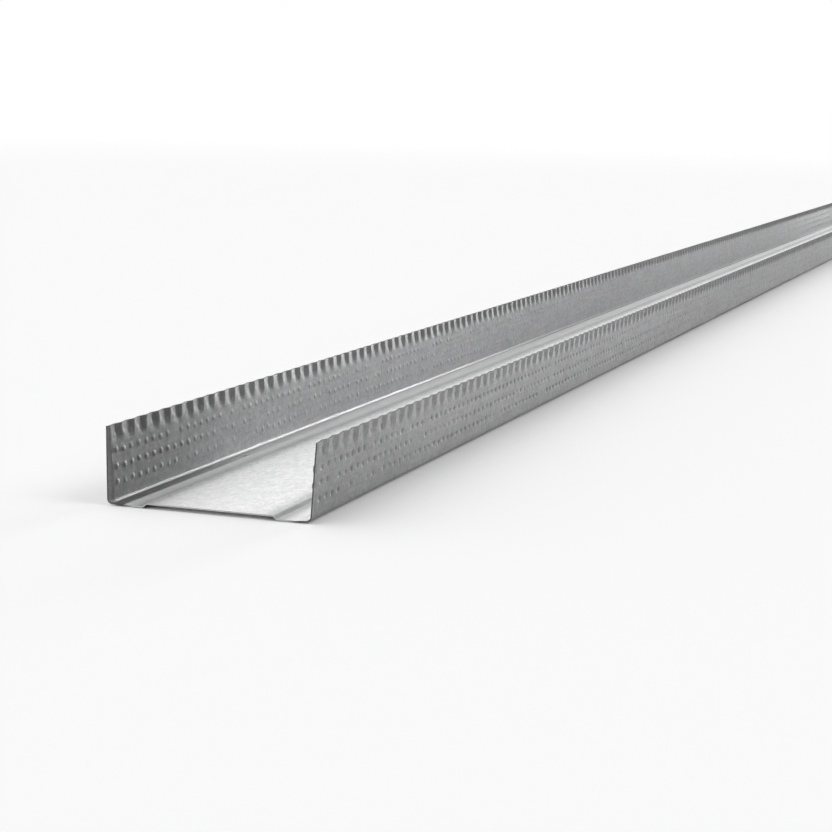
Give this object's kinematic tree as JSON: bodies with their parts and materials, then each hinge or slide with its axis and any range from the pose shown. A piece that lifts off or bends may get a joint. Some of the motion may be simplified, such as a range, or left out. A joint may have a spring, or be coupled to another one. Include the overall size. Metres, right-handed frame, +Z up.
{
  "type": "drywall channel",
  "caption": "Roll-formed steel U channel with a raised web panel and crimped flange edges, which holds the ends of wall studs against a floor or ceiling.",
  "frame": {"origin": "mid length and mid width of the channel, on the level that the underside of its web lies on", "axes": "+X along the channel, +Y across it to the left flange, +Z up through the open side"},
  "size_m": [2.44, 0.0688, 0.0243],
  "materials": {
    "galvanised_steel": "zinc-coated sheet, satin, with rows of small dimples on the flanges"
  },
  "bodies": {
    "root": {"drywall_channel": "galvanised_steel"}
  },
  "joints": []
}
